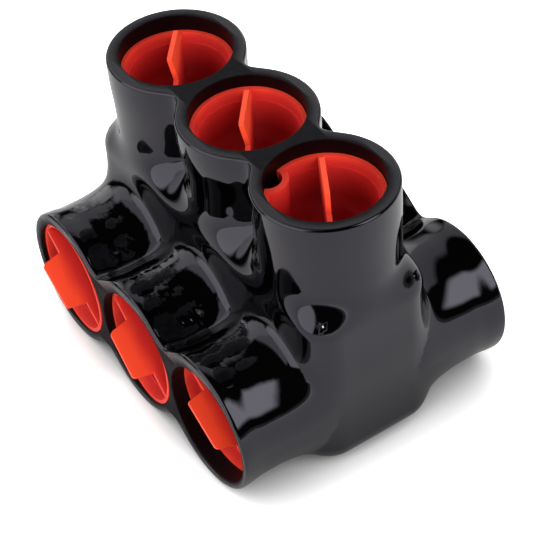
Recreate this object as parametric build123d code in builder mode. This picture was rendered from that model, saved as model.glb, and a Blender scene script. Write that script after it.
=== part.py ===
"""Insulated multi-tap connector: a dipped boot over an aluminium block, with three set screws and nine plugs.

Millimetres. X runs along the row of ports, the front mouths face -Y, the screw towers stand up along +Z.
The origin is at the middle of the underside.
"""
import os
from math import cos, sin, radians

from build123d import *

os.makedirs("parts", exist_ok=True)

# Mouths and row
port_count = 3
tube_bore = 13.7
tube_partition = 1.2
tower_wall = 2.9
tower_overlap = 1.5
tube_wall = 2.6
tube_lift = 0.2

# Block, inside the boot
wire_bore = 9.0
wire_bore_edge = 0.8
tapped_length = 16.8
block_edge = 0.8
block_clearance = 0.05

# Boot
boot_wall_end = 2.8
boot_wall_side = 3.4
boot_wall_floor = 2.6
boot_wall_shoulder = 2.8
end_cover = 0.3
side_cover = 0.2
tower_well = 23.9
tube_well = 22.5
body_corner = 7.2
shoulder_round = 6.0
underside_round = 5.5
tower_valley = 4.2
tube_valley = 5.0
tower_blend = 4.0
tube_blend = 4.8
rim_round = 0.7
rim_inner_round = 0.4

# Set screws
screw_radius = 7.94
screw_clearance = 0.06
screw_stand = 0.3
screw_proud = 1.0
screw_chamfer = 1.0
hex_across_flats = 7.94
hex_clearance = 0.1
hex_depth = 8.5
cup_radius = 4.2
cup_depth = 1.4

# Plugs
plug_clearance = 0.15
lip_flat = 0.9
lip_bead = 1.8
step_depth = 2.5
step_lean = 0.45
step_width = 0.35
plug_wall_inset = 0.35
plug_draft = 0.5
plug_floor = 1.5
plug_edge = 0.8
cup_round = 2.5
web_thickness = 1.1
web_root = 0.3
tab_height = 5.0
tab_foot = 13.4
tab_top = 11.6
tab_corner = 1.0
tower_plug_length = 13.5
tube_plug_length = 13.0
tower_plug_sink = 3.5
front_plug_sinks = (0.5, 1.5, 4.8)
rear_plug_sinks = (1.5, 0.5, 2.5)
tower_web_angles = (-34.5, -34.9, -29.8)
front_web_angles = (-30.2, -27.9, -37.7)
rear_web_angles = (-35.0, -24.0, -31.0)
fold_plug = 3
fold_angle = -148.0
fold_radius = 3.2
fold_wall = 1.4
fold_offset = 0.3
same_size = 0.01

# Row of ports: the tubes' bores stand a partition apart, and the towers run into each other
pitch = 2 * tube_bore + tube_partition
tube_radius = tube_bore + tube_wall
tower_radius = pitch / 2 + tower_overlap
tower_bore = tower_radius - tower_wall
axis_height = tube_radius + tube_lift
row = [pitch * (n - (port_count - 1) / 2) for n in range(port_count)]
row_points = [(x, 0) for x in row]

# Body just covers the end tubes and the towers' sides, and the block fills it less the boot's walls
body_length = pitch * (port_count - 1) + 2 * (tube_radius + end_cover)
body_depth = 2 * (tower_radius + side_cover)
block_length = body_length - 2 * boot_wall_end
block_depth = body_depth - 2 * boot_wall_side
block_bottom = boot_wall_floor
block_top = axis_height + wire_bore + tapped_length
shoulder_height = block_top + boot_wall_shoulder
tower_height = block_top + tower_well
mouth = block_depth / 2 + tube_well

# Insulation boot: rounded body, towers and tubes joined with rolled blends, then hollowed
with BuildPart() as boot:
    with BuildSketch():
        RectangleRounded(body_length, body_depth, body_corner)
    extrude(amount=shoulder_height)
    fillet(boot.faces().sort_by(Axis.Z)[-1].edges(), shoulder_round)
    fillet(boot.faces().sort_by(Axis.Z)[0].edges(), underside_round)

    with BuildPart(mode=Mode.PRIVATE) as towers:
        with BuildSketch(Plane.XY.offset(axis_height)) as tower_outline:
            with Locations(*row_points):
                Circle(tower_radius)
            fillet(tower_outline.vertices(), tower_valley)
        extrude(amount=tower_height - axis_height)
    add(towers.part)
    tower_seam = [e for e in boot.edges(Select.NEW) if abs(e.center().Z - shoulder_height) < shoulder_round]
    fillet(tower_seam, tower_blend)

    with BuildPart(mode=Mode.PRIVATE) as tubes:
        with BuildSketch(Plane((0, 0, axis_height), x_dir=(1, 0, 0), z_dir=(0, -1, 0))) as tube_outline:
            with Locations(*row_points):
                Circle(tube_radius)
            fillet(tube_outline.vertices(), tube_valley)
        extrude(amount=mouth, both=True)
    add(tubes.part)
    tube_seam = [e for e in boot.edges(Select.NEW) if abs(e.center().Y) < mouth - tube_well / 2]
    fillet(tube_seam, tube_blend)

    fillet(boot.faces().sort_by(Axis.Z)[-1].edges(), rim_round)
    fillet(boot.faces().sort_by(Axis.Y)[0].edges(), rim_round)
    fillet(boot.faces().sort_by(Axis.Y)[-1].edges(), rim_round)

    with BuildSketch(Plane.XY.offset(block_bottom - block_clearance)):
        Rectangle(block_length + 2 * block_clearance, block_depth + 2 * block_clearance)
    extrude(amount=block_top - block_bottom + 2 * block_clearance, mode=Mode.SUBTRACT)
    with BuildSketch(Plane.XY.offset(tower_height)):
        with Locations(*row_points):
            Circle(tower_bore)
    extrude(amount=block_top - tower_height, mode=Mode.SUBTRACT)
    for side in (-1, 1):
        with BuildSketch(Plane((0, side * mouth, axis_height), x_dir=(1, 0, 0), z_dir=(0, -side, 0))):
            with Locations(*row_points):
                Circle(tube_bore)
        extrude(amount=mouth - block_depth / 2, mode=Mode.SUBTRACT)
    mouth_rings = boot.faces().filter_by(Plane.XY).sort_by(Axis.Z)[-1].inner_wires().edges()
    mouth_rings += boot.faces().filter_by(Plane.XZ).sort_by(Axis.Y)[0].inner_wires().edges()
    mouth_rings += boot.faces().filter_by(Plane.XZ).sort_by(Axis.Y)[-1].inner_wires().edges()
    fillet(mouth_rings, rim_inner_round)
boot.part.label = "insulation_boot"
export_step(boot.part, "parts/insulation_boot.step")

# Aluminium block: sawn bar with through wire bores and tapped screw holes
with BuildPart() as block:
    with BuildSketch(Plane.XY.offset(block_bottom)):
        Rectangle(block_length, block_depth)
    extrude(amount=block_top - block_bottom)
    chamfer(block.edges(), block_edge)
    with BuildSketch(Plane((0, block_depth / 2, axis_height), x_dir=(1, 0, 0), z_dir=(0, -1, 0))):
        with Locations(*row_points):
            Circle(wire_bore)
    extrude(amount=block_depth, mode=Mode.SUBTRACT)
    bore_rims = [e for e in block.edges().filter_by(GeomType.CIRCLE) if abs(e.radius - wire_bore) < same_size]
    chamfer(bore_rims, wire_bore_edge)
    with BuildSketch(Plane.XY.offset(block_top)):
        with Locations(*row_points):
            Circle(screw_radius + screw_clearance)
    extrude(amount=axis_height - block_top, mode=Mode.SUBTRACT)
    hole_rims = [e for e in block.edges().filter_by(GeomType.CIRCLE) if abs(e.center().Z - block_top) < same_size]
    chamfer(hole_rims, wire_bore_edge)
block.part.label = "aluminium_block"
export_step(block.part, "parts/aluminium_block.step")

# Set screws, backed off to the roof of the wire bores
screw_foot = axis_height + wire_bore + screw_stand
screw_length = block_top + screw_proud - screw_foot
for number, x in enumerate(row, start=1):
    with BuildPart() as screw:
        with BuildSketch(Plane((x, 0, screw_foot))):
            Circle(screw_radius)
        extrude(amount=screw_length)
        chamfer(screw.edges(), screw_chamfer)
        with BuildSketch(Plane((x, 0, screw_foot + screw_length))):
            RegularPolygon(radius=hex_across_flats / 2 + hex_clearance, side_count=6, major_radius=False)
        extrude(amount=-hex_depth, mode=Mode.SUBTRACT)
        with Locations((x, 0, screw_foot + cup_depth / 2)):
            Cone(cup_radius, cup_radius / 2, cup_depth, mode=Mode.SUBTRACT)
    screw.part.label = f"set_screw_{number}"
    export_step(screw.part, f"parts/set_screw_{number}.step")


def pull_plug(place, bore, length, folded=False):
    """Push-in plug with its lip in the XY plane of place and its tab standing out along the normal."""
    lip = bore - plug_clearance
    throat = lip - lip_flat - step_lean - step_width
    wall_top = lip - plug_wall_inset
    axis = Axis(place.origin, place.z_dir)
    upright = Plane(place.origin, x_dir=place.x_dir, z_dir=-place.y_dir)
    with BuildPart() as plug:
        with BuildSketch(upright):
            with BuildLine():
                Polyline(
                    (0, -length),
                    (wall_top - plug_draft - plug_edge, -length),
                    (wall_top - plug_draft, -length + plug_edge),
                    (wall_top, -lip_bead - plug_wall_inset),
                    (lip, -lip_bead),
                    (lip, 0),
                    (0, 0),
                    (0, -length),
                )
            make_face()
        revolve(axis=axis)
        with BuildSketch(upright) as recess:
            with BuildLine():
                Polyline(
                    (0, -length + plug_floor),
                    (throat - plug_draft, -length + plug_floor),
                    (throat, -step_depth),
                    (throat + step_width, -step_depth),
                    (lip - lip_flat, 0),
                    (0, 0),
                    (0, -length + plug_floor),
                )
            make_face()
            fillet(recess.vertices().group_by(Axis.Y)[0].sort_by(Axis.X)[-1], cup_round)
        revolve(axis=axis, mode=Mode.SUBTRACT)
        if folded:
            turned = Plane(place.origin, x_dir=(1, 0, 0), z_dir=place.z_dir)
            with BuildSketch(turned):
                with PolarLocations(bore + fold_offset, 1, start_angle=fold_angle):
                    Circle(fold_radius + fold_wall)
                Circle(wall_top - plug_draft, mode=Mode.INTERSECT)
            extrude(amount=-length + plug_floor / 2)
            with BuildSketch(turned):
                with PolarLocations(bore + fold_offset, 1, start_angle=fold_angle):
                    Circle(fold_radius)
            extrude(amount=-length, mode=Mode.SUBTRACT)
        with BuildSketch(upright) as web_outline:
            with BuildLine():
                Polyline(
                    (-lip + lip_flat, 0),
                    (-tab_foot / 2, 0),
                    (-tab_top / 2, tab_height),
                    (tab_top / 2, tab_height),
                    (tab_foot / 2, 0),
                    (lip - lip_flat, 0),
                    (throat + step_width + web_root, -step_depth),
                    (throat - plug_draft + web_root, -length + plug_floor - web_root),
                    (-throat + plug_draft - web_root, -length + plug_floor - web_root),
                    (-throat - step_width - web_root, -step_depth),
                    (-lip + lip_flat, 0),
                )
            make_face()
            fillet(web_outline.vertices().group_by(Axis.Y)[-1], tab_corner)
        extrude(amount=web_thickness / 2, both=True)
    return plug.part


# Tower plugs
for number, (x, angle) in enumerate(zip(row, tower_web_angles), start=1):
    place = Plane(
        (x, 0, tower_height - tower_plug_sink),
        x_dir=(cos(radians(angle)), sin(radians(angle)), 0),
        z_dir=(0, 0, 1),
    )
    plug = pull_plug(place, tower_bore, tower_plug_length, folded=number == fold_plug)
    plug.label = f"tower_plug_{number}"
    export_step(plug, f"parts/tower_plug_{number}.step")

# Front and rear plugs
for side, word, sinks, angles in (
    (-1, "front", front_plug_sinks, front_web_angles),
    (1, "rear", rear_plug_sinks, rear_web_angles),
):
    for number, (x, sink, angle) in enumerate(zip(row, sinks, angles), start=1):
        place = Plane(
            (x, side * (mouth - sink), axis_height),
            x_dir=(cos(radians(angle)), 0, sin(radians(angle))),
            z_dir=(0, side, 0),
        )
        plug = pull_plug(place, tube_bore, tube_plug_length)
        plug.label = f"{word}_plug_{number}"
        export_step(plug, f"parts/{word}_plug_{number}.step")
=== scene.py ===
"""The looks of an insulated multi-tap connector: black dipped boot, block, set screws and orange plugs.

Metres, in the frame's own axes: X along the row of ports, the front mouths facing -Y, the towers up.
"""
from math import radians

import bmesh
import bpy
import numpy as np
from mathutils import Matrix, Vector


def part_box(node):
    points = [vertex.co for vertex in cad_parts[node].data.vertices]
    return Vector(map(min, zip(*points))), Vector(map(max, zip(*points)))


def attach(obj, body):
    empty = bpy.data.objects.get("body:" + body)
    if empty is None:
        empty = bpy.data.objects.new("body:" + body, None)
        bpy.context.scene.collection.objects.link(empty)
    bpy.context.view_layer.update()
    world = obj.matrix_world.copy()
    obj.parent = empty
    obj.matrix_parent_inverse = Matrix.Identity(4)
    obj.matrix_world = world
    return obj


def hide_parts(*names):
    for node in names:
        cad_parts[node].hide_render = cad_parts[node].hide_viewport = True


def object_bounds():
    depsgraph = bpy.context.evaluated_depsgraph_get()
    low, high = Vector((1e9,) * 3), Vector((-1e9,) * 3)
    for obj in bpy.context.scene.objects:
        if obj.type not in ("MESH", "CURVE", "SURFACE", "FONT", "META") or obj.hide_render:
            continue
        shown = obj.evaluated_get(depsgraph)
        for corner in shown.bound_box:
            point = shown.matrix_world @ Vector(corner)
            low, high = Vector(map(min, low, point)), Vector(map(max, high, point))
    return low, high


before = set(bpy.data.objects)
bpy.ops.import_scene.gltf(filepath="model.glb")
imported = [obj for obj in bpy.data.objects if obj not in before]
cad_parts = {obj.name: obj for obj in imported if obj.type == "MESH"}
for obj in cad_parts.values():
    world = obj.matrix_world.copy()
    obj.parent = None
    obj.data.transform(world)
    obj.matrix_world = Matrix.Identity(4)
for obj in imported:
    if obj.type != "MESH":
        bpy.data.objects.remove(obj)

import openvdb
from mathutils import Matrix, Quaternion, Vector

cad_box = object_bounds()


# Aluminium block
# The bar inside the boot, sawn from extruded aluminium and bored for the wires and the set screws.
# Its mesh is the CAD node as it is; the finish gives it fine cutter lines along its length.
def finish_nodes(name, base_color, roughness, metallic=0.0):
    """Starts a material and returns it with its node tree and its surface shader."""
    material = bpy.data.materials.new(name)
    material.use_nodes = True
    tree = material.node_tree
    shader = tree.nodes["Principled BSDF"]
    shader.inputs["Base Color"].default_value = (*base_color, 1.0)
    shader.inputs["Roughness"].default_value = roughness
    shader.inputs["Metallic"].default_value = metallic
    return material, tree, shader


def noise(tree, size, detail=2.0, stretch=(1.0, 1.0, 1.0)):
    """Noise on Object coordinates in blobs about size metres across, times the stretch of each axis."""
    coordinates = tree.nodes.new("ShaderNodeTexCoord")
    mapping = tree.nodes.new("ShaderNodeMapping")
    mapping.inputs["Scale"].default_value = [1.0 / (size * longer) for longer in stretch]
    pattern = tree.nodes.new("ShaderNodeTexNoise")
    pattern.inputs["Scale"].default_value = 1.0
    pattern.inputs["Detail"].default_value = detail
    tree.links.new(coordinates.outputs["Object"], mapping.inputs["Vector"])
    tree.links.new(mapping.outputs["Vector"], pattern.inputs["Vector"])
    return pattern.outputs["Fac"]


def spread(tree, value, low, high, start=0.3, end=0.7, curve="LINEAR"):
    """Maps a value's start to end onto low to high, and holds it at either end."""
    node = tree.nodes.new("ShaderNodeMapRange")
    node.interpolation_type = curve
    node.inputs["From Min"].default_value = start
    node.inputs["From Max"].default_value = end
    node.inputs["To Min"].default_value = low
    node.inputs["To Max"].default_value = high
    tree.links.new(value, node.inputs["Value"])
    return node.outputs["Result"]


def raise_surface(tree, shader, height, depth, after=None):
    """Bumps the surface by depth metres where the height pattern goes from 0 to 1."""
    bump = tree.nodes.new("ShaderNodeBump")
    bump.inputs["Distance"].default_value = depth
    tree.links.new(height, bump.inputs["Height"])
    if after is not None:
        tree.links.new(after, bump.inputs["Normal"])
    tree.links.new(bump.outputs["Normal"], shader.inputs["Normal"])
    return bump.outputs["Normal"]


def milled_aluminium():
    """Pale aluminium with fine cutter lines along X."""
    material, tree, shader = finish_nodes("milled_aluminium", (0.72, 0.73, 0.74), 0.32, metallic=1.0)
    lines = noise(tree, 0.0004, 3.0, stretch=(30.0, 1.0, 1.0))
    tree.links.new(spread(tree, lines, 0.25, 0.42), shader.inputs["Roughness"])
    raise_surface(tree, shader, lines, 0.00002)
    return material


block_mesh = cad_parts["aluminium_block"].data
block_mesh.materials.clear()
block_mesh.materials.append(milled_aluminium())


# Dipped boot
# One skin of black vinyl, dipped over the block and its mandrels, so that towers, body and tubes flow
# together. The mouths are trimmed after the dip, which leaves satin rims, and the bores' walls are dull.
# Its sizes are millimetres until the skin is closed.
ports = (-28.6, 0.0, 28.6)
tower_radius, tower_bore, tower_mouth = 15.8, 12.9, 66.2
tube_radius, tube_bore, tube_mouth = 16.2, 13.7, 35.1
tube_axis = 16.5
mouths = (((0, 0, 1), tower_mouth), ((0, -1, 0), tube_mouth), ((0, 1, 0), tube_mouth))


def soft_join(a, b, reach, share=1.0):
    """The lower of two distances, melted together where they differ by less than reach.

    There it is lowered by a sixth of reach, times the cube of how near they are, times share.
    """
    near = np.clip(1.0 - np.abs(a - b) / reach, 0.0, 1.0)
    return np.minimum(a, b) - near**3 * reach / 6.0 * share


def row_of_rounds(along, across, radii, valley):
    """Distance in a plane to three circles, one at each port, with soft valleys between them."""
    rings = [np.hypot(along - port, across) - radius for port, radius in zip(ports, radii)]
    return soft_join(soft_join(rings[0], rings[1], valley), rings[2], valley)


def rounded_corner(a, b, radius):
    """The overlap of two half spaces, given as distances, with its edge rounded by a quarter circle."""
    a, b = a + radius, b + radius
    return np.minimum(np.maximum(a, b), 0.0) + np.hypot(np.maximum(a, 0.0), np.maximum(b, 0.0)) - radius


def ease(value, start, end):
    """Rises from 0 to 1 between start and end, on the fifth-power curve that meets both without a kink."""
    t = np.clip((value - start) / (end - start), 0.0, 1.0)
    return t * t * t * (t * (6.0 * t - 15.0) + 10.0)


def boot_column(x, y, z):
    """Upright body: a rounded rectangle that turns into three towers as it rises, on a rounded underside.

    The two outlines are mixed by height, and the towers neck in under their mouths, the middle one most.
    """
    half_length, half_depth, corner = 45.0, 15.9, 7.2
    underside, underside_round = 0.15, 5.5
    necks = (0.5, 1.3, 0.2)
    valley = 8.0
    slab = rounded_corner(np.abs(x) - half_length, np.abs(y) - half_depth, corner)
    necked = 1.0 - ease(z, 49.0, 64.0)
    towers = row_of_rounds(x, y, [tower_radius - neck * necked for neck in necks], valley)
    shoulder = ease(z, 38.0, 48.5)
    outline = slab * (1.0 - shoulder) + towers * shoulder
    return rounded_corner(outline, underside - z, underside_round)


def boot_tubes(x, y, z):
    """The tubes of both sides: three rounds in a row, slightly waisted and flared again at the mouths."""
    valley = 9.0
    beside = np.abs(y)
    waist = 0.3 * ease(beside, 18.0, 26.0) - 0.55 * ease(beside, 28.0, 35.0)
    return row_of_rounds(x, z - tube_axis, [tube_radius] * 3, valley) + waist


def slope(field, x, y, z, step=0.05):
    """How a field rises along each axis: what it gains over two steps, divided by their length."""
    rise = [
        field(x + step, y, z) - field(x - step, y, z),
        field(x, y + step, z) - field(x, y - step, z),
        field(x, y, z + step) - field(x, y, z - step),
    ]
    return np.stack(rise, axis=-1) / (2.0 * step)


def boot_outside(x, y, z):
    """Column and tubes melted together, the more the squarer they meet, so that flush faces don't swell.

    How square they meet is one less the square of the product of their slopes.
    """
    product = np.sum(slope(boot_column, x, y, z) * slope(boot_tubes, x, y, z), axis=-1)
    square = np.clip(1.0 - product**2, 0.0, 1.0)
    return soft_join(boot_column(x, y, z), boot_tubes(x, y, z), 8.5, square)


def boot_inside(x, y, z):
    """The room for the block, a well down each tower and a bore along each tube, as the lowest distance.

    Each front bore is pulled aside, and widened by a fifth of a millimetre, towards its mouth.
    """
    room_x, room_y, room_z, room_middle = 42.45, 12.65, 19.9, 22.45
    well_floor, bore_end, widened = 42.3, 12.6, 0.2
    pulls = (0.1, 0.6, 1.1)
    room = np.maximum(np.abs(x) - room_x, np.abs(y) - room_y)
    room = np.maximum(room, np.abs(z - room_middle) - room_z)
    wells = np.maximum(row_of_rounds(x, y, [tower_bore] * 3, 0.01), well_floor - z)
    pulled = ease(-y, 13.0, 22.0)
    bores = [np.hypot(x - port - pull * pulled, z - tube_axis) - tube_bore - widened * pulled
             for port, pull in zip(ports, pulls)]
    through = np.maximum(np.minimum.reduce(bores), bore_end - np.abs(y))
    return np.minimum(room, np.minimum(wells, through))


def boot_field(x, y, z):
    """Distance to the boot's skin: the higher of the outside's and the inside's with its sign turned."""
    return np.maximum(boot_outside(x, y, z), -boot_inside(x, y, z))


def dipped_skin():
    """Meshes the field on a grid and draws the points onto it, a little past the mouths.

    In each of four steps a point goes down the slope by the field's value over the square of the slope.
    """
    voxel, least_slope = 0.93, 0.25
    low, room = np.array((-47.0, -37.0, -2.0)), np.array((94.0, 74.0, 70.4))
    count = np.ceil(room / voxel).astype(int)
    axes = [low[i] + voxel * np.arange(count[i]) for i in range(3)]
    grid = openvdb.FloatGrid()
    grid.copyFromArray(boot_field(*np.meshgrid(*axes, indexing="ij")).astype(np.float32))
    points, triangles, quads = grid.convertToPolygons(isovalue=0.0, adaptivity=0.0)
    points = points.astype(float) * voxel + low
    for step in range(4):
        way = slope(boot_field, *points.T)
        steepness = np.maximum(np.sum(way * way, axis=1), least_slope)
        points -= way * (boot_field(*points.T) / steepness)[:, None]
    return points, np.concatenate([quads[:, [0, 1, 2]], quads[:, [0, 2, 3]], triangles])


def points_of(mesh):
    """The mesh's points, a row of x, y and z for each."""
    points = np.empty(3 * len(mesh.vertices))
    mesh.vertices.foreach_get("co", points)
    return points.reshape(-1, 3)


def cut_skin(straight):
    """The skin without what lies past each mouth's plane, set back by straight."""
    points, faces = dipped_skin()
    mesh = bpy.data.meshes.new("dipped_boot")
    mesh.from_pydata(points, [], faces)
    shell = bmesh.new()
    shell.from_mesh(mesh)
    for out, reach in mouths:
        everything = shell.verts[:] + shell.edges[:] + shell.faces[:]
        cut = Vector(out) * (reach - straight)
        bmesh.ops.bisect_plane(shell, geom=everything, dist=1e-5, plane_co=cut, plane_no=out,
                               clear_outer=True)
    shell.to_mesh(mesh)
    shell.free()
    return mesh


def faces_and_open_sides(mesh):
    """Lists the points of each face, and gives the two end points of each side that has one face only."""
    starts, edges = np.empty((2, len(mesh.loops)), dtype=np.int32)
    mesh.loops.foreach_get("vertex_index", starts)
    mesh.loops.foreach_get("edge_index", edges)
    first, sides = np.empty((2, len(mesh.polygons)), dtype=np.int32)
    mesh.polygons.foreach_get("loop_start", first)
    mesh.polygons.foreach_get("loop_total", sides)
    faces = [list(starts[a:a + n]) for a, n in zip(first, sides)]
    following = np.arange(len(starts)) + 1
    following[first + sides - 1] = first
    alone = np.bincount(edges, minlength=len(mesh.edges))[edges] == 1
    return faces, starts[alone], starts[following][alone]


def trimmed_boot():
    """The skin cut just below each mouth, with its cut edges rolled over by a quarter circle.

    At each angle of the roll a point has moved in from the wall by the bend times one less the cosine, and
    lies short of the mouth's plane by the bend times one less the sine. The mesh comes with a normal for
    each point and with the edges that end the rolls.
    """
    straight, outer_bend, bore_bend, on_bore = 0.8, 0.7, 0.25, 0.3
    mesh = cut_skin(straight)
    points = points_of(mesh)
    faces, starts, ends = faces_and_open_sides(mesh)
    normals = slope(boot_field, *points.T)
    all_points, all_normals, rim_edges = [points], [normals], []
    total = len(points)
    for out, reach in mouths:
        out = np.array(out, dtype=float)
        here = np.abs(points[starts] @ out - reach + straight) < 1e-3
        ring, place = np.unique(np.concatenate([starts[here], ends[here]]), return_inverse=True)
        a, b = place[:here.sum()], place[here.sum():]
        away = normals[ring] - np.outer(normals[ring] @ out, out)
        away /= np.linalg.norm(away, axis=1)[:, None]
        bend = np.where(boot_inside(*points[ring].T) < on_bore, bore_bend, outer_bend)[:, None]
        base = points[ring] - np.outer(points[ring] @ out, out)
        last = ring
        for angle in np.radians(np.linspace(0.0, 90.0, 7)):
            short = bend * (1.0 - np.sin(angle))
            all_points.append(base - away * bend * (1.0 - np.cos(angle)) + (reach - short) * out)
            all_normals.append(away * np.cos(angle) + out * np.sin(angle))
            this = total + np.arange(len(ring))
            faces += np.stack([last[b], last[a], this[a], this[b]], axis=1).tolist()
            total += len(ring)
            last = this
        rim_edges += np.stack([last[a], last[b]], axis=1).tolist()
    mesh.clear_geometry()
    mesh.from_pydata(np.concatenate(all_points), [], faces)
    return mesh, np.concatenate(all_normals), rim_edges


def finish_marks(mesh):
    """Notes, for the finish, what is on a trimmed rim, on a bore's wall, or where the dip sagged and ran.

    Each note is a product of eased steps along the axes; the sags are at the front, between underside and
    shoulder, and fade towards port 3.
    """
    x, y, z = points_of(mesh).T
    on_bore = 0.35
    front = ease(-y, 13.0, 20.0)
    between = ease(z, 10.0, 18.0) * (1.0 - ease(z, 33.0, 39.0))
    fading = 1.0 - 0.75 * ease(x, 22.0, 36.0)
    tower_rim = ease(z, tower_mouth - 0.15, tower_mouth - 0.05)
    tube_rim = ease(np.abs(y), tube_mouth - 0.15, tube_mouth - 0.05)
    marks = {
        "rim": np.maximum(tower_rim, tube_rim),
        "bore": 1.0 * (boot_inside(x, y, z) < on_bore),
        "sag": front * between * fading,
    }
    for name, values in marks.items():
        mesh.attributes.new(name, "FLOAT", "POINT").data.foreach_set("value", values)


def filled_boot():
    """Fills the flat rims between the rolled edges, and shades the skin by the field's own slope."""
    mesh, normals, rim_edges = trimmed_boot()
    shell = bmesh.new()
    shell.from_mesh(mesh)
    shell.verts.ensure_lookup_table()
    for out, reach in mouths:
        rim = [shell.edges.get((shell.verts[a], shell.verts[b])) for a, b in rim_edges
               if abs(shell.verts[a].co.dot(Vector(out)) - reach) < 1e-4]
        bmesh.ops.triangle_fill(shell, edges=rim, normal=out)
    shell.to_mesh(mesh)
    shell.free()
    finish_marks(mesh)
    mesh.transform(Matrix.Scale(0.001, 4))
    mesh.polygons.foreach_set("use_smooth", [True] * len(mesh.polygons))
    mesh.normals_split_custom_set_from_vertices(normals / np.linalg.norm(normals, axis=1)[:, None])
    boot = bpy.data.objects.new("dipped_boot", mesh)
    bpy.context.scene.collection.objects.link(boot)
    return boot


def mark(tree, name):
    """Reads what the mesh notes for each point under a name."""
    node = tree.nodes.new("ShaderNodeAttribute")
    node.attribute_name = name
    return node.outputs["Fac"]


def combine(tree, operation, *values):
    """One step of arithmetic on numbers and on what other nodes give."""
    node = tree.nodes.new("ShaderNodeMath")
    node.operation = operation
    for socket, value in zip(node.inputs, values):
        if isinstance(value, float):
            socket.default_value = value
        else:
            tree.links.new(value, socket)
    return node.outputs[0]


def dipped_vinyl():
    """Black glossy vinyl: sags where it drained between the tubes, orange peel, satin rims, dull bores."""
    material, tree, shader = finish_nodes("dipped_vinyl", (0.0006, 0.0006, 0.0007), 0.05)
    shader.inputs["IOR"].default_value = 1.52
    shader.inputs["Specular Tint"].default_value = (0.88, 0.85, 1.0, 1.0)
    rim, bore, sag = mark(tree, "rim"), mark(tree, "bore"), mark(tree, "sag")
    drips = combine(tree, "MULTIPLY", sag, noise(tree, 0.0021, 1.5, stretch=(1.0, 1.0, 2.2)))
    sags = combine(tree, "MULTIPLY", sag, noise(tree, 0.008, 0.0))
    fuzz = combine(tree, "MULTIPLY", combine(tree, "MAXIMUM", rim, bore), noise(tree, 0.0004, 3.0))
    normal = raise_surface(tree, shader, drips, 0.00008)
    normal = raise_surface(tree, shader, sags, 0.00035, after=normal)
    normal = raise_surface(tree, shader, noise(tree, 0.009, 1.0), 0.00005, after=normal)
    normal = raise_surface(tree, shader, noise(tree, 0.0011, 2.0), 0.0000025, after=normal)
    raise_surface(tree, shader, fuzz, 0.00003, after=normal)
    satin = combine(tree, "MULTIPLY_ADD", rim, spread(tree, noise(tree, 0.002, 3.0), 0.2, 0.34), 0.05)
    tree.links.new(combine(tree, "MULTIPLY_ADD", bore, 0.4, satin), shader.inputs["Roughness"])
    tree.links.new(combine(tree, "MULTIPLY_ADD", bore, -0.3, 0.5), shader.inputs["Specular IOR Level"])
    return material


boot_piece = filled_boot()
boot_piece.data.materials.append(dipped_vinyl())
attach(boot_piece, "connector")
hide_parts("insulation_boot")


# Set screws
# Turned from aluminium bar and tin plated, threaded all along, with a broached hex socket and a cupped
# foot. They stand backed off in the block, their heads a millimetre over it.
def set_screw(x):
    """Rows of points from the foot's middle round to the socket's bottom, each a full turn on the axis.

    The thread takes a groove from the radius, half of one less a cosine, which climbs a pitch in a turn.
    The socket's rows take a hexagon's radius: half its width over the cosine of the angle from the middle
    of a flat.
    """
    turn = np.linspace(0.0, 2.0 * np.pi, 144, endpoint=False)
    foot, head, radius = 25.8, 43.3, 7.94
    chamfer, runout = 1.0, 2.2
    thread_pitch, thread_depth, row_step = 1.5875, 0.85, 0.14
    socket_half_width, socket_depth, socket_tip = 4.07, 8.5, 9.6
    lead_in, lead_in_depth = 0.3, 0.25
    cup_floor, cup_edge, cup_depth = 2.1, 4.2, 1.4
    face, face_edge, edge_drop = 6.85, 7.0, 0.1
    heights = np.arange(foot + chamfer, head - chamfer, row_step)
    phase = (heights[:, None] / thread_pitch - turn[None, :] / (2.0 * np.pi)) % 1.0
    groove = 0.5 - 0.5 * np.cos(2.0 * np.pi * phase)
    fade = ease(heights, foot + chamfer, foot + runout)
    fade = fade * (1.0 - ease(heights, head - runout, head - chamfer))
    thread = radius - thread_depth * groove * fade[:, None]
    hexagon = socket_half_width / np.cos((turn + np.pi / 6.0) % (np.pi / 3.0) - np.pi / 6.0)
    rows = [(0.0, foot + cup_depth), (cup_floor, foot + cup_depth), (cup_edge, foot)]
    rows += [(radius - chamfer, foot)] + list(zip(thread, heights))
    rows += [(face_edge, head - edge_drop), (face, head), (hexagon + lead_in, head)]
    rows += [(hexagon, head - lead_in_depth), (hexagon, head - socket_depth), (0.0, head - socket_tip)]
    full_row = np.ones(len(turn))
    radii = np.array([distance * full_row for distance, level in rows])
    levels = np.array([level * full_row for distance, level in rows])
    points = np.stack([x + radii * np.cos(turn), radii * np.sin(turn), levels], axis=-1) * 0.001
    index = np.arange(radii.size).reshape(radii.shape)
    after = np.roll(index, -1, axis=1)
    faces = np.stack([index[:-1], after[:-1], after[1:], index[1:]], axis=-1).reshape(-1, 4)
    mesh = bpy.data.meshes.new("threaded_screw")
    mesh.from_pydata(points.reshape(-1, 3), [], faces)
    shell = bmesh.new()
    shell.from_mesh(mesh)
    bmesh.ops.remove_doubles(shell, verts=shell.verts[:], dist=1e-6)
    shell.to_mesh(mesh)
    shell.free()
    mesh.set_sharp_from_angle(angle=radians(40.0))
    return mesh


def plated_metal():
    """Grey tin plate with fine turning lines round the axis and faint stains."""
    material, tree, shader = finish_nodes("plated_metal", (0.62, 0.62, 0.6), 0.3, metallic=1.0)
    tree.links.new(spread(tree, noise(tree, 0.0016, 4.0), 0.24, 0.42), shader.inputs["Roughness"])
    raise_surface(tree, shader, noise(tree, 0.00025, 3.0, stretch=(6.0, 6.0, 1.0)), 0.000012)
    return material


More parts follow.
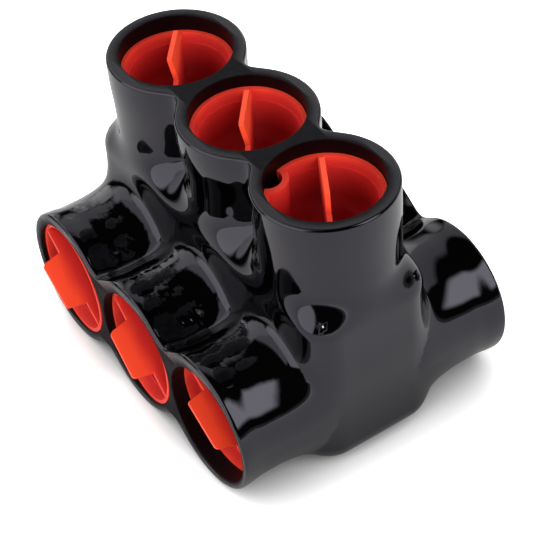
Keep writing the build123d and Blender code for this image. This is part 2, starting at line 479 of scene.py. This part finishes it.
plate = plated_metal()
for number, x in enumerate(ports, start=1):
    screw = bpy.data.objects.new(f"threaded_screw_{number}", set_screw(x))
    screw.data.materials.append(plate)
    bpy.context.scene.collection.objects.link(screw)
    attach(screw, f"screw_{number}")
    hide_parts(f"set_screw_{number}")


# Plugs
# Nine soft stoppers moulded in orange plastic, each a cup with a lip, a web across it and a pull tab that
# stands up from the web. They are pushed in by hand, so most sit a little askew, and some tabs lean over.
# Slants are metres per metre, along each axis; shifts and leans are metres.
slants = {
    "tower_plug_1": (0.03, -0.02, 0.0),
    "tower_plug_2": (-0.03, 0.02, 0.0),
    "front_plug_1": (0.05, 0.0, 0.0),
    "front_plug_2": (0.08, 0.0, -0.03),
    "front_plug_3": (-0.01, 0.0, 0.05),
    "rear_plug_1": (-0.03, 0.0, 0.02),
    "rear_plug_3": (0.04, 0.0, 0.0),
}
shifts = {
    "front_plug_1": (0.0001, 0.0, 0.0),
    "front_plug_2": (0.0006, -0.0004, 0.0),
    "front_plug_3": (0.0011, -0.0013, 0.0),
}
leans = {
    "front_plug_2": (0.0003, 0.0, 0.0004),
    "front_plug_3": (0.0008, 0.0, 0.0014),
}
outwards = {"tower": (0.0, 0.0, 1.0), "front": (0.0, -1.0, 0.0), "rear": (0.0, 1.0, 0.0)}


def orange_plastic():
    """Soft orange-red plastic, a little see-through, with painted shade in the cup: its colour darkens with
    depth under the lip.
    """
    lip_color = (0.98, 0.08, 0.03, 1.0)
    painted_shade_wall_color = (0.7, 0.034, 0.028, 1.0)
    painted_shade_floor_color = (0.48, 0.02, 0.022, 1.0)
    material, tree, shader = finish_nodes("orange_plastic", (0.9, 0.06, 0.028), 0.42)
    shader.inputs["IOR"].default_value = 1.46
    shader.inputs["Specular IOR Level"].default_value = 0.2
    shader.inputs["Subsurface Weight"].default_value = 0.12
    shader.inputs["Subsurface Radius"].default_value = (0.001, 0.00025, 0.0001)
    # Painted shade: the lip's colour turns into the darker wall and floor colours with depth in the cup.
    cloud = spread(tree, noise(tree, 0.006, 2.0), -0.0006, 0.0006)
    depth = combine(tree, "ADD", mark(tree, "depth"), cloud)
    colors = tree.nodes.new("ShaderNodeValToRGB")
    colors.color_ramp.elements[0].color = lip_color
    colors.color_ramp.elements[1].color = painted_shade_floor_color
    colors.color_ramp.elements.new(0.3).color = painted_shade_wall_color
    tree.links.new(spread(tree, depth, 0.0, 1.0, start=-0.002, end=0.009), colors.inputs["Fac"])
    tree.links.new(colors.outputs["Color"], shader.inputs["Base Color"])
    tree.links.new(spread(tree, noise(tree, 0.003, 3.0), 0.36, 0.5), shader.inputs["Roughness"])
    raise_surface(tree, shader, noise(tree, 0.0022, 2.0), 0.00003)
    return material


def softened(node, width):
    """A copy of a plug's solid whose sharp edges are rounded off, as they leave the mould."""
    flat, sharp = radians(0.6), radians(32.0)
    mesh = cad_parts[node].data.copy()
    shell = bmesh.new()
    shell.from_mesh(mesh)
    bmesh.ops.remove_doubles(shell, verts=shell.verts[:], dist=2e-6)
    bmesh.ops.dissolve_limit(shell, angle_limit=flat, verts=shell.verts[:], edges=shell.edges[:])
    edges = [edge for edge in shell.edges if len(edge.link_faces) == 2 and edge.calc_face_angle() > sharp]
    bmesh.ops.bevel(shell, geom=edges, offset=width, segments=3, profile=0.5, affect="EDGES",
                    clamp_overlap=True)
    bmesh.ops.triangulate(shell, faces=shell.faces[:])
    shell.to_mesh(mesh)
    shell.free()
    return mesh


def broad_normals(mesh):
    """Shades each point by the sum of the normals of the faces round it, each times its face's area."""
    corners = np.empty(len(mesh.loops), dtype=np.int32)
    mesh.loops.foreach_get("vertex_index", corners)
    corners = corners.reshape(-1, 3)
    a, b, c = np.moveaxis(points_of(mesh)[corners], 1, 0)
    areas = np.cross(b - a, c - a)
    normals = np.zeros((len(mesh.vertices), 3))
    for corner in range(3):
        np.add.at(normals, corners[:, corner], areas)
    normals /= np.maximum(np.linalg.norm(normals, axis=1), 1e-20)[:, None]
    mesh.polygons.foreach_set("use_smooth", [True] * len(mesh.polygons))
    mesh.normals_split_custom_set_from_vertices(normals)


def pushed_in(mesh, name):
    """Sets a plug a little askew, leans its tab, and notes how deep each point lies under the lip.

    Askew is a shear along the plug's own axis by its slant, so that it still fills its bore. A tab leans by
    its lean times the share of its height. Those of tower plugs 1 and 2 lean across their web instead, by
    that share times how far along the tab's foot a point lies. A shifted plug is widened to fill its bore.
    """
    straight = (0.0, 0.0, 0.0)
    tab_height, tab_foot, web_angle, web_lean = 0.005, 0.0134, radians(-34.7), 0.0012
    wider = 0.016
    out = np.array(outwards[name.split("_")[0]])
    low, high = (np.array(corner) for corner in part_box(name))
    lip = (high if out.sum() > 0.0 else low) @ out - tab_height
    points = points_of(mesh)
    level = points @ out - lip
    # The depth under the lip drives the painted shade in the plugs' cups.
    mesh.attributes.new("depth", "FLOAT", "POINT").data.foreach_set("value", -level)
    away = points - (low + high) / 2.0
    away -= np.outer(away @ out, out)
    height = np.clip(level / tab_height, 0.0, 1.0)
    if name in ("tower_plug_1", "tower_plug_2"):
        web = np.array((np.cos(web_angle), np.sin(web_angle), 0.0))
        across = np.array((-web[1], web[0], 0.0))
        near = np.clip(away @ web / tab_foot + 0.5, 0.0, 1.0)
        points -= np.outer(web_lean * near * height, across)
    points += np.outer(height, np.array(leans.get(name, straight)))
    points += np.outer(away @ np.array(slants.get(name, straight)), out)
    if name in shifts:
        points += away * wider + np.array(shifts[name])
    points = np.clip(points, *(np.array(corner) for corner in cad_box))
    mesh.vertices.foreach_set("co", points.ravel())


orange = orange_plastic()
for name in sorted(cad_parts):
    if "plug" in name:
        mesh = softened(name, 0.00025)
        pushed_in(mesh, name)
        broad_normals(mesh)
        mesh.materials.clear()
        mesh.materials.append(orange)
        plug = bpy.data.objects.new("moulded_" + name, mesh)
        bpy.context.scene.collection.objects.link(plug)
        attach(plug, name.replace("plug", "stopper"))
        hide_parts(name)


# Studio
# A pale paper floor, a pale sweep up to the horizon, a dark ceiling and seven soft boxes, which the gloss
# shows, and one lamp at the camera's side, which it doesn't.
def studio_floor():
    """A flat disc under the part, paler to the camera, with a painted contact shadow close to what stands
    on it.
    """
    radius = 6.0
    turn = np.linspace(0.0, 2.0 * np.pi, 64, endpoint=False)
    edge = np.stack([radius * np.cos(turn), radius * np.sin(turn), 0.0 * turn], axis=1)
    mesh = bpy.data.meshes.new("floor")
    mesh.from_pydata(edge, [], [list(range(len(edge)))])
    material, tree, shader = finish_nodes("floor_paper", (0.9, 0.9, 0.9), 0.9)
    shader.inputs["Specular IOR Level"].default_value = 0.0
    rays = tree.nodes.new("ShaderNodeLightPath")
    paleness = 0.9
    for kind, more in (("Is Camera Ray", 1.2), ("Is Glossy Ray", 0.1), ("Is Transmission Ray", 0.1)):
        paleness = combine(tree, "MULTIPLY_ADD", rays.outputs[kind], more, paleness)
    # Painted shadow: ambient occlusion darkens the floor's colour within 17 mm of what stands on it.
    painted_contact_shadow = tree.nodes.new("ShaderNodeAmbientOcclusion")
    painted_contact_shadow.inputs["Distance"].default_value = 0.017
    tree.links.new(paleness, painted_contact_shadow.inputs["Color"])
    tree.links.new(painted_contact_shadow.outputs["Color"], shader.inputs["Base Color"])
    mesh.materials.append(material)
    floor = bpy.data.objects.new("floor", mesh)
    bpy.context.scene.collection.objects.link(floor)
    return floor


studio_floor()


def towards(azimuth, elevation):
    """The direction at an azimuth from -Y, turning to +X, and an elevation, in degrees."""
    a, e = radians(azimuth), radians(elevation)
    return Vector((np.sin(a) * np.cos(e), -np.cos(a) * np.cos(e), np.sin(e)))


def along(tree, direction, axis):
    """How far a direction goes along an axis."""
    node = tree.nodes.new("ShaderNodeVectorMath")
    node.operation = "DOT_PRODUCT"
    node.inputs[1].default_value = axis
    tree.links.new(direction, node.inputs[0])
    return node.outputs["Value"]


def soft_box(tree, direction, azimuth, elevation, half_width, half_height, strength):
    """A glowing soft-edged rectangle, seen in one direction; its half sizes are tangents of angles."""
    soft = 0.08
    middle = towards(azimuth, elevation)
    side = Vector((0.0, 0.0, 1.0)).cross(middle).normalized()
    ahead = combine(tree, "MAXIMUM", along(tree, direction, middle), 0.001)
    inside = strength
    for axis, half in ((side, half_width), (middle.cross(side), half_height)):
        beside = combine(tree, "DIVIDE", along(tree, direction, axis), ahead)
        beside = combine(tree, "ABSOLUTE", beside)
        fall = spread(tree, beside, 1.0, 0.0, start=half - soft, end=half + soft, curve="SMOOTHSTEP")
        inside = combine(tree, "MULTIPLY", fall, inside)
    return inside


def studio_world():
    """White light whose strength in each direction is the highest of the sweep's and the soft boxes'.

    A soft box is given by its azimuth, elevation, half width, half height and strength.
    """
    world = bpy.data.worlds.new("studio")
    bpy.context.scene.world = world
    world.use_nodes = True
    tree = world.node_tree
    sky = tree.nodes["Background"]
    sky.inputs["Color"].default_value = (1.0, 1.0, 1.0, 1.0)
    direction = tree.nodes.new("ShaderNodeTexCoord").outputs["Generated"]
    rise = along(tree, direction, (0.0, 0.0, 1.0))
    light = spread(tree, rise, 0.3, 0.01, start=0.03, end=0.09, curve="SMOOTHSTEP")
    for box in (
        (-5.0, 23.0, 0.58, 0.45, 2.3),
        (-68.0, 38.0, 0.42, 0.36, 1.5),
        (-100.0, 15.0, 0.17, 0.3, 1.5),
        (-135.0, 16.0, 0.27, 0.26, 1.6),
        (-152.0, 38.0, 0.7, 0.4, 0.8),
        (120.0, 36.0, 0.22, 0.34, 3.3),
        (-25.0, 60.0, 0.6, 0.28, 1.1),
    ):
        light = combine(tree, "MAXIMUM", light, soft_box(tree, direction, *box))
    tree.links.new(light, sky.inputs["Strength"])


studio_world()


def lamp(name, azimuth, elevation, distance, size, power):
    """A square area lamp aimed at the part, which lights it without showing in the gloss."""
    data = bpy.data.lights.new(name, "AREA")
    data.size = size
    data.energy = power
    holder = bpy.data.objects.new(name, data)
    way = towards(azimuth, elevation)
    holder.location = way * distance
    holder.rotation_mode = "QUATERNION"
    holder.rotation_quaternion = way.to_track_quat("Z", "Y")
    holder.visible_glossy = False
    bpy.context.scene.collection.objects.link(holder)


lamp("beside_camera", 80.0, 28.0, 1.2, 0.7, 10.0)


# Camera
# It stands where the photograph was taken from, with the same field of view and the same slight roll.
camera_place = Vector((0.28164, -0.16469, 0.32364))
camera_aim = Vector((-0.000445, 0.002232, 0.01813))
camera_roll = radians(-5.41)
camera_data = bpy.data.cameras.new("camera")
camera_data.lens = 129.35
camera_data.sensor_width = 36.0
camera_data.clip_start = 0.01
camera = bpy.data.objects.new("camera", camera_data)
camera.location = camera_place
camera.rotation_mode = "QUATERNION"
facing = (camera_aim - camera_place).to_track_quat("-Z", "Y")
camera.rotation_quaternion = facing @ Quaternion((0, 0, 1), camera_roll)
bpy.context.scene.collection.objects.link(camera)
bpy.context.scene.camera = camera
bpy.context.scene.view_settings.view_transform = "Standard"
